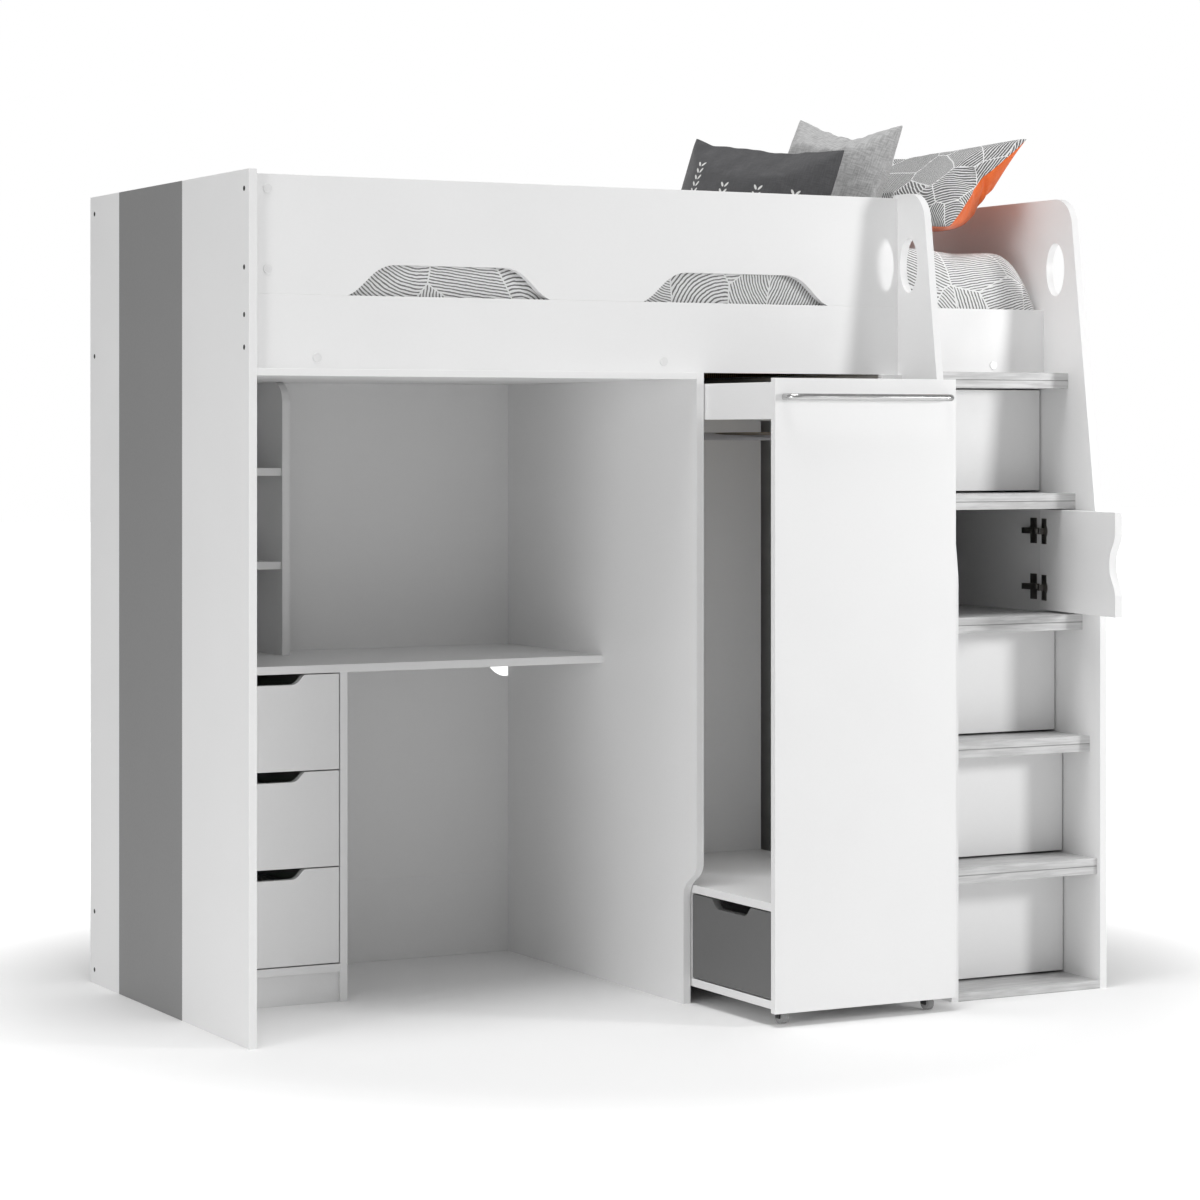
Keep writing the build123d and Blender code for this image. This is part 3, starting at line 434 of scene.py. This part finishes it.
def ripple(x, y, seed, count, wave, height):
    """Soft random waves: a sum of sines of random direction, length and phase, the long
    ones the tallest."""
    rng = np.random.default_rng(seed)
    total = np.zeros_like(x)
    for _ in range(count):
        share = rng.uniform(0.45, 1.6)
        way, phase = rng.uniform(0, math.pi), rng.uniform(0, TAU)
        along = x * math.cos(way) + y * math.sin(way)
        total += height * share * np.sin(TAU * along / (wave * share) + phase)
    return total / math.sqrt(count)


def turn_outward(piece):
    """Makes a closed piece's faces point outwards."""
    work = bmesh.new()
    work.from_mesh(piece.data)
    bmesh.ops.recalc_face_normals(work, faces=work.faces)
    work.to_mesh(piece.data)
    work.free()


def points_of(piece):
    """A piece's points as rows of x, y, z."""
    points = np.empty(len(piece.data.vertices) * 3, np.float32)
    piece.data.vertices.foreach_get("co", points)
    return points.reshape(-1, 3).astype(float)


def put_points(piece, points):
    """Puts rows of x, y, z back into a piece."""
    piece.data.vertices.foreach_set("co", points.astype(np.float32).ravel())
    piece.data.update()


def swell(piece, pressure, frames, cap, drawn):
    """Blows a sewn skin up as cloth, with no gravity, and keeps each point's move under cap.

    drawn is how far its sides draw in, as a share of what the cloth alone would do.
    """
    before = points_of(piece)
    cloth = piece.modifiers.new("swell", "CLOTH")
    cloth.settings.quality = 6
    cloth.settings.mass = 0.25
    cloth.settings.tension_stiffness = cloth.settings.compression_stiffness = 20.0
    cloth.settings.shear_stiffness = 6.0
    cloth.settings.bending_stiffness = 0.3
    cloth.settings.use_pressure = True
    cloth.settings.uniform_pressure_force = pressure
    cloth.settings.effector_weights.gravity = 0.0
    cloth.collision_settings.use_collision = False
    cloth.point_cache.frame_start, cloth.point_cache.frame_end = 1, frames
    for number in range(1, frames + 1):
        bpy.context.scene.frame_set(number)
    depsgraph = bpy.context.evaluated_depsgraph_get()
    result = piece.evaluated_get(depsgraph)
    after = np.empty(before.size, np.float32)
    result.data.vertices.foreach_get("co", after)
    move = (after.reshape(-1, 3) - before) * (1, drawn, drawn)
    size = np.linalg.norm(move, axis=1, keepdims=True)
    piece.modifiers.clear()
    put_points(piece, before + move * np.minimum(1, cap / np.maximum(size, 1e-9)))
    bpy.context.scene.frame_set(1)


def soft(piece, node):
    """Lets a finished soft piece stand for its CAD node, which it hides: one live
    subdivision, and its body."""
    finer = piece.modifiers.new("smooth", "SUBSURF")
    finer.levels = finer.render_levels = 1
    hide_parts(node)
    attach(piece, "root")


def crowded(count, low, high, radius):
    """Places between low and high, crowded within a radius of each end.

    Near an end they go as one minus the cosine of an even angle, so that a quarter round
    gets evenly long facets.
    """
    round_off = radius * (1 - np.cos(np.linspace(0, math.pi / 2, ROUND_POINTS)))
    start, end = low + round_off, high - round_off[::-1]
    between = np.linspace(start[-1], end[0], count - 2 * (ROUND_POINTS - 1))[1:-1]
    return np.concatenate([start, between, end])


def quarter_rounds(place, low, high, radius):
    """0 at both ends, rising as a quarter circle to 1 within a radius of each."""
    inset = np.minimum(place - low, high - place)
    return np.sqrt(1 - np.clip(1 - inset / radius, 0, 1) ** 2)


# ---- settings ----
class LoftBedSettings(bpy.types.PropertyGroup):
    """Sizes and colours that a user would change."""

    board: FloatVectorProperty(
        name="Board", description="White melamine", subtype="COLOR", default=linear("#F0F0F0")
    )
    stripe: FloatVectorProperty(
        name="Stripe",
        description="Middle board of the desk end",
        subtype="COLOR",
        default=linear("#8A8A8A"),
    )
    drawer: FloatVectorProperty(
        name="Low drawer", description="Its front board", subtype="COLOR", default=linear("#6C6C6C")
    )
    tread: FloatVectorProperty(
        name="Tread", description="Wood-print board", subtype="COLOR", default=linear("#CCCCCC")
    )
    ground: FloatVectorProperty(
        name="Print ground", description="Grey of the bedding", subtype="COLOR",
        default=linear("#6E6E6E"),
    )
    patch: FloatProperty(
        name="Patch", description="Width of a hatched patch", default=0.15, unit="LENGTH"
    )
    pitch: FloatProperty(
        name="Stroke pitch", description="Spacing of its strokes", default=0.0078, unit="LENGTH"
    )
    duvet_end: FloatProperty(
        name="Duvet end", description="Radius of its ends", default=0.105, unit="LENGTH"
    )
    duvet_side: FloatProperty(
        name="Duvet side", description="Radius of its sides", default=0.05, unit="LENGTH"
    )
    key: FloatProperty(name="Key", description="Lamp at the right front, in watts", default=53.0)
    fill: FloatProperty(name="Fill", description="Lamp at the left front, in watts", default=57.0)
    ceiling: FloatProperty(name="Ceiling", description="Broad lamp above, in watts", default=400.0)
    room: FloatProperty(name="Room", description="Light from the white room", default=0.35)


class LOFT_OT_boards(bpy.types.Operator):
    """Finish the boards: white, grey and graphite melamine, wood-print treads, pine slats"""

    bl_idname = "loft.boards"
    bl_label = "Boards"

    BOARD = 18 * MM
    RISES = 5

    def execute(self, context):
        chosen = context.scene.loft_bed
        rise = (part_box("ladder_treads")[1][2] - self.BOARD) / self.RISES
        finishes = {
            # the last number paints the edges: above 1 a painted highlight, below 1 painted shade
            "white_board": melamine("white_satin_melamine", chosen.board, 0.42, 0.012, 1.1),
            "grey_board": melamine("grey_matt_melamine", chosen.stripe, 0.52, 0.05, 0.7),
            "graphite_board": melamine("graphite_matt_melamine", chosen.drawer, 0.5, 0.04, 1.15),
            "tread_board": wood_print_melamine(chosen.tread, rise),
            "pine": planed_pine(linear("#D9BC8E")),
        }
        for node, slot in SLOTS.items():
            if slot in finishes:
                dress(finishes[slot], node)
        return {"FINISHED"}


class LOFT_OT_fittings(bpy.types.Operator):
    """Finish the handle, hanging rail, hinges, runners, castors, screws and covers"""

    bl_idname = "loft.fittings"
    bl_label = "Fittings"

    def execute(self, context):
        grain = 0.8 * MM
        finishes = {
            "satin_chrome": plated("satin_chrome_plate", linear("#CDCDCD"), 0.24, "x"),
            "chromed_steel": plated("polished_chrome_plate", linear("#C4C4C8"), 0.12, "y"),
            "nickel_steel": plated("nickel_plated_steel", linear("#84827F"), 0.32, "z"),
            "dark_screw": plated("blackened_steel", linear("#454545"), 0.42, "y"),
            "zinc_steel": moulded("white_powder_coat", linear("#DADADA"), 0.5, grain),
            "castor_plastic": moulded("black_moulded_nylon", linear("#2B2B2C"), 0.45, grain),
            "cap_plastic": moulded("white_moulded_plastic", linear("#E9E9E9"), 0.3, grain),
            "wheel_rubber": moulded("clear_grey_urethane", linear("#D5D5D5"), 0.18, grain, 0.6),
        }
        for node, slot in SLOTS.items():
            if slot in finishes:
                dress(finishes[slot], node)
        return {"FINISHED"}


class LOFT_OT_hinge_links(bpy.types.Operator):
    """Make the bright links between each hinge's arm and its cup"""

    bl_idname = "loft.hinge_links"
    bl_label = "Hinge links"

    DOORS = 5
    # a hinge's middle from its door's top or bottom, then the link's two ends from the pin
    INSET = 52 * MM
    ARM = np.array([-5.0, 36.0]) * MM
    KNUCKLE = np.array([-15.2, 26.0]) * MM
    WIDE, THICK = 11 * MM, 1.2 * MM

    def execute(self, context):
        chrome = plated("bright_nickel_plate", linear("#F2F1EE"), 0.3, "x")
        for number in range(1, self.DOORS + 1):
            joint = JOINTS[f"door_{number}_hinge"]
            foot, top = (corner[2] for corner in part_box(f"locker_door_{number}"))
            pivot = np.array(joint["pos_m"][:2])
            angle = -math.radians(joint["range_deg"][0])
            cosine, sine = math.cos(angle), math.sin(angle)
            turned = np.array([[cosine, -sine], [sine, cosine]])
            start, end = pivot + self.ARM, pivot + turned @ self.KNUCKLE
            bars = [self.bar(start, end, z) for z in (foot + self.INSET, top - self.INSET)]
            count = len(bars[0][0])
            points = np.concatenate([points for points, _ in bars])
            faces = np.concatenate([bars[0][1], bars[1][1] + count])
            piece = make_piece(f"hinge_link_{number}", points, faces, [chrome])
            turn_outward(piece)
            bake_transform(piece)
        return {"FINISHED"}

    def bar(self, start, end, z):
        """A flat bar with rounded sides: an ellipse carried from start to end, its ends
        drawn in to a point, as wide as WIDE along z."""
        turn = np.linspace(0, TAU, 20, endpoint=False)
        reach = np.array([0, 0, 0.04, 0.12, 0.3, 0.5, 0.7, 0.88, 0.96, 1, 1])
        girth = np.array([0, 0.8, 0.95, 1, 0.8, 0.7, 0.8, 1, 0.95, 0.8, 0])
        along = (end - start) / np.linalg.norm(end - start)
        across = np.array([-along[1], along[0]])
        centre = start + (end - start) * reach[:, None]
        out = girth[:, None] * self.THICK * np.cos(turn)
        x, y = (centre[:, i, None] + across[i] * out for i in (0, 1))
        height = z + girth[:, None] * self.WIDE / 2 * np.sin(turn)
        points = np.stack([x, y, height], -1)
        closed = np.concatenate([points, points[:, :1]], 1)
        rows, columns = closed.shape[:2]
        number = np.arange(rows * columns).reshape(rows, columns) % columns
        number = np.where(number == columns - 1, 0, number)
        number = number + np.arange(rows)[:, None] * (columns - 1)
        number[0], number[-1] = 0, (rows - 1) * (columns - 1)
        return points.reshape(-1, 3), number.ravel()[quads(rows, columns)]


class LOFT_OT_mattress(bpy.types.Operator):
    """Make the mattress: a quilted block with rounded borders"""

    bl_idname = "loft.mattress"
    bl_label = "Mattress"

    ROUND = 22 * MM

    def execute(self, context):
        low, high = (np.array(corner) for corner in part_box("mattress"))
        x, y = crowded(90, low[0], high[0], self.ROUND), crowded(46, low[1], high[1], self.ROUND)
        x, y = np.meshgrid(x, y, indexing="ij")
        rise = quarter_rounds(x, low[0], high[0], self.ROUND)
        rise = rise * quarter_rounds(y, low[1], high[1], self.ROUND)
        middle, half = (low[2] + high[2]) / 2, (high[2] - low[2]) / 2
        top, bottom = (np.stack([x, y, middle + way * half * rise], -1) for way in (1, -1))
        skin = two_sheets(top, bottom, np.stack([x, y], -1))
        piece = make_piece("mattress_cover", *skin[:2], [knitted_ticking()], skin[2])
        turn_outward(piece)
        soft(piece, "mattress")
        return {"FINISHED"}


class LOFT_OT_duvet(bpy.types.Operator):
    """Make the duvet: a thick quilt with round edges and soft folds, in hatched cotton"""

    bl_idname = "loft.duvet"
    bl_label = "Duvet"

    HEADROOM = 5 * MM
    # its border hangs into the mattress's rounded edge
    HANG = 30 * MM
    FALL = 6 * MM
    # seed, count, length and height of its folds and of its finer puckers
    FOLDS = (7, 26, 260 * MM, 6 * MM)
    PUCKERS = (11, 30, 90 * MM, 1.8 * MM)

    def execute(self, context):
        chosen = context.scene.loft_bed
        low, high = (np.array(corner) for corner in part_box("duvet"))
        points, faces, uv = self.skin(low, high, chosen.duvet_end, chosen.duvet_side)
        print_sizes = chosen.patch, chosen.pitch
        cotton = hatched_cotton(
            "hatched_percale", chosen.ground, linear("#EFEFEF"), *print_sizes, 0.35
        )
        piece = make_piece("duvet_cover", points, faces, [cotton], uv)
        turn_outward(piece)
        soft(piece, "duvet")
        return {"FINISHED"}

    def skin(self, low, high, end, side):
        """Top: the two quarter rounds' product times the thickness, with soft waves that
        fade at its edges. Underside: flat, and falling off exponentially at its border."""
        x, y = crowded(170, low[0], high[0], end), crowded(90, low[1], high[1], side)
        x, y = np.meshgrid(x, y, indexing="ij")
        rise_x = quarter_rounds(x, low[0], high[0], end)
        rise_y = quarter_rounds(y, low[1], high[1], side)
        rise = rise_x * rise_y
        waves = ripple(x, y, *self.FOLDS) + ripple(x, y, *self.PUCKERS)
        foot = low[2] - self.HANG
        height = (high[2] - foot - self.HEADROOM) * rise + waves * rise**2
        top = np.stack([x, y, foot + height], -1)
        inset = np.minimum(np.minimum(x - low[0], high[0] - x), np.minimum(y - low[1], high[1] - y))
        bottom = np.stack([x, y, low[2] - self.HANG * np.exp(-inset / self.FALL)], -1)
        # the print follows the cloth down the edge: the height lost is length gained
        tall = high[2] - foot
        over_y = np.where(y < (low[1] + high[1]) / 2, -1, 1) * tall * (1 - rise_y)
        over_x = np.where(x < (low[0] + high[0]) / 2, -1, 1) * tall * (1 - rise_x)
        return two_sheets(top, bottom, np.stack([x + over_x, y + over_y], -1))


class LOFT_OT_cushions(bpy.types.Operator):
    """Make the three cushions: sewn flat, blown up, and leaned where they stand"""

    bl_idname = "loft.cushions"
    bl_label = "Cushions"

    PRESSURE, FRAMES, FARTHEST = 6.0, 20, 90 * MM
    # each sheet's rise in the middle before it is blown up, and its ripples
    LOFT = 14 * MM
    RIPPLES = (18, 110 * MM, 3 * MM)

    def execute(self, context):
        chosen = context.scene.loft_bed
        hatch = hatched_cotton(
            "hatched_pillowcase", toned(chosen.ground, 0.8), linear("#E8E8E8"),
            chosen.patch * 0.8, chosen.pitch * 0.95, -0.3,
        )
        orange = dyed_cloth("orange_cotton", linear("#F26A22"), linear("#FF8F4A"), 1.2 * MM, 0.4)
        dark = dyed_cloth("charcoal_cotton", linear("#4B4B4D"), linear("#606062"), 1.2 * MM, 0.5)
        linen = dyed_cloth("mottled_linen", linear("#C9C9C9"), linear("#8C8C8C"), 1.6 * MM, 0.7)
        stitched(dark, linear("#E6E6E4"))
        # each one's cover, thickness, drawn sides, front's share, and lean, turn and roll
        self.cushion("dark_cushion", (0.49, 0.27), 0.11, 0.25, 0.5, (16, 21, 7), 3, [dark])
        self.cushion("light_cushion", (0.47, 0.35), 0.12, 0.5, 0.5, (16, 4, 7), 5, [linen])
        self.cushion("patterned_pillow", (0.76, 0.37), 0.13, 0.5, 0.4, (47, 3, 0), 9, [hatch, orange])
        return {"FINISHED"}

    def cushion(self, node, cut, thickness, drawn, front, angles, seed, materials):
        """One cushion: cut is its cover's flat width and height, drawn how far its sides
        draw in, and front the front's share of the thickness. A second material is its
        back's."""
        points, faces, uv = self.cover(*cut, seed)
        piece = make_piece(f"{node}_cover", points, faces, materials, uv)
        turn_outward(piece)
        swell(piece, self.PRESSURE, self.FRAMES, self.FARTHEST, drawn)
        put_points(piece, self.settled(points_of(piece), thickness, front))
        self.stand(piece, node, *(math.radians(angle) for angle in angles))
        half = len(faces) // 2
        sides = np.repeat([0, len(materials) - 1], [half, len(faces) - half])
        piece.data.polygons.foreach_set("material_index", sides.astype(np.int32))
        soft(piece, node)

    def cover(self, width, height, seed, cells=48):
        """Two flat sheets sewn round the edge, across y and up z, that part by a product of
        cosines with random ripples, which become creases when it is blown up."""
        side = np.linspace(-1, 1, cells)
        u, v = np.meshgrid(side, side, indexing="ij")
        y, z = u * width / 2, v * height / 2
        rise = np.cos(u * math.pi / 2) * np.cos(v * math.pi / 2)
        waves = ripple(y, z, seed, *self.RIPPLES) * np.sqrt(rise)
        front, back = (np.stack([way * self.LOFT * rise + waves, y, z], -1) for way in (-1, 1))
        return two_sheets(front, back, np.stack([y, z], -1))

    def settled(self, points, thickness, front):
        """Brings a blown-up cushion to its thickness, more of it low down where the filling
        sinks."""
        x, y, z = points.T
        level = (z - z.min()) / (z.max() - z.min())
        x = x * thickness / (x.max() - x.min())
        x = x * np.where(x < 0, 2 * front, 2 * (1 - front)) * (1.12 - 0.24 * level)
        return np.stack([x, y, z], 1)

    def stand(self, piece, node, lean, turn, roll):
        """Rolls, leans and turns a cushion about its middle, where its CAD solid's is."""
        low, high = (np.array(corner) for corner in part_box(node))
        points = points_of(piece)
        points = points - (points.min(0) + points.max(0)) / 2
        for angle, spin in ((roll, "X"), (lean, "Y"), (turn, "Z")):
            points = points @ np.array(Matrix.Rotation(angle, 3, spin)).T
        put_points(piece, points + (low + high) / 2)


class LOFT_OT_stage(bpy.types.Operator):
    """Make the floor, the studio light and the camera"""

    bl_idname = "loft.stage"
    bl_label = "Stage"

    HALF_FLOOR, FLOOR_POINTS = 40.0, 9
    # how far out the floor starts and ends going over to white
    FADE = (1.1, 2.6)
    MIDDLE = (0.0, -0.2, 1.0)
    # where each lamp hangs, and how wide it is
    LAMPS = {
        "key": ((3.0, -3.2, 1.6), 0.7),
        "fill": ((-5.2, -2.5, 1.2), 1.6),
        "ceiling": ((-1.2, -1.4, 9.0), 4.0),
    }
    LENS, SENSOR, SHIFT, REACH = 100.37, 36.0, -0.1376, 200.0
    # the camera from the desk end's front corner, its height, and its turn in degrees
    AWAY, EYE, TURN = (-2.62495, -6.47125), 1.27624, 28.0686

    def execute(self, context):
        self.floor()
        self.light()
        self.camera()
        return {"FINISHED"}

    def floor(self):
        """A wide pale floor, which goes over to the white of the background farther out."""
        side = np.linspace(-self.HALF_FLOOR, self.HALF_FLOOR, self.FLOOR_POINTS)
        x, y = np.meshgrid(side, side)
        points = np.stack([x, y, 0 * x], -1).reshape(-1, 3)
        material, tree, shader = new_material("pale_painted_floor")
        place = add(tree, "TexCoord", out="Object")
        cloud = add(tree, "TexNoise", {"Vector": place, "Scale": 1.1, "Detail": 2.0})
        tones = {6: toned(linear("#F9F9F9"), 1), 7: toned(linear("#FBFBFB"), 1)}
        base = add(tree, "Mix", {0: cloud, **tones}, 2, data_type="RGBA")
        connect(tree, shader, {"Base Color": base, "Roughness": 0.75, "Specular IOR Level": 0.2})
        out = add(tree, "VectorMath", {0: place}, "Value", operation="LENGTH")
        fade = {0: out, 1: self.FADE[0], 2: self.FADE[1]}
        white = add(tree, "MapRange", fade, interpolation_type="SMOOTHSTEP")
        seen = add(tree, "LightPath", out="Is Camera Ray")
        white = add(tree, "Math", {0: white, 1: seen}, operation="MULTIPLY")
        connect(tree, shader, {"Emission Color": (1, 1, 1, 1), "Emission Strength": white})
        faces = quads(self.FLOOR_POINTS, self.FLOOR_POINTS)
        make_piece("floor", points, faces, [material])

    def light(self):
        """A white room, a level key from the right front, a fill from the left, and a ceiling."""
        scene = bpy.context.scene
        chosen = scene.loft_bed
        scene.view_settings.view_transform = "Standard"
        scene.world = bpy.data.worlds.new("studio")
        scene.world.use_nodes = True
        tree = scene.world.node_tree
        seen = add(tree, "LightPath", out="Is Camera Ray")
        strength = add(tree, "MapRange", {0: seen, 3: chosen.room, 4: 1.0})
        room = {"Color": (1, 1, 1, 1), "Strength": strength}
        connect(tree, tree.nodes["Background"], room)
        for name, (place, width) in self.LAMPS.items():
            data = bpy.data.lights.new(name, "AREA")
            data.shape, data.size, data.energy = "DISK", width, getattr(chosen, name)
            lamp = bpy.data.objects.new(name, data)
            lamp.location = place
            aim = Vector(self.MIDDLE) - Vector(place)
            lamp.rotation_euler = aim.to_track_quat("-Z", "Y").to_euler()
            lamp.visible_camera = False
            scene.collection.objects.link(lamp)

    def camera(self):
        """A level camera left of the front, its view shifted down to the bed."""
        data = bpy.data.cameras.new("camera")
        data.lens, data.sensor_width = self.LENS, self.SENSOR
        data.shift_y, data.clip_end = self.SHIFT, self.REACH
        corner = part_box("end_panel_front")[0]
        camera = bpy.data.objects.new("camera", data)
        camera.location = (corner[0] + self.AWAY[0], corner[1] + self.AWAY[1], self.EYE)
        camera.rotation_euler = (math.pi / 2, 0, -math.radians(self.TURN))
        bpy.context.scene.collection.objects.link(camera)
        bpy.context.scene.camera = camera


class LOFT_PT_panel(bpy.types.Panel):
    """The bed's settings and its pieces in the sidebar"""

    bl_idname = "LOFT_PT_panel"
    bl_label = "Loft Bed"
    bl_space_type = "VIEW_3D"
    bl_region_type = "UI"
    bl_category = "Loft Bed"

    def draw(self, context):
        for name in LoftBedSettings.__annotations__:
            self.layout.prop(context.scene.loft_bed, name)
        for operator in OPERATORS:
            self.layout.operator(operator.bl_idname)


OPERATORS = (
    LOFT_OT_stage,
    LOFT_OT_boards,
    LOFT_OT_fittings,
    LOFT_OT_hinge_links,
    LOFT_OT_mattress,
    LOFT_OT_duvet,
    LOFT_OT_cushions,
)


def register():
    """Registers the classes and the settings."""
    for item in (LoftBedSettings, *OPERATORS, LOFT_PT_panel):
        bpy.utils.register_class(item)
    bpy.types.Scene.loft_bed = PointerProperty(type=LoftBedSettings)


def unregister():
    """Takes them away again."""
    del bpy.types.Scene.loft_bed
    for item in (LOFT_PT_panel, *reversed(OPERATORS), LoftBedSettings):
        bpy.utils.unregister_class(item)


def main():
    """Makes everything."""
    register()
    for operator in OPERATORS:
        group, name = operator.bl_idname.split(".")
        getattr(getattr(bpy.ops, group), name)()


if __name__ == "__main__":
    main()
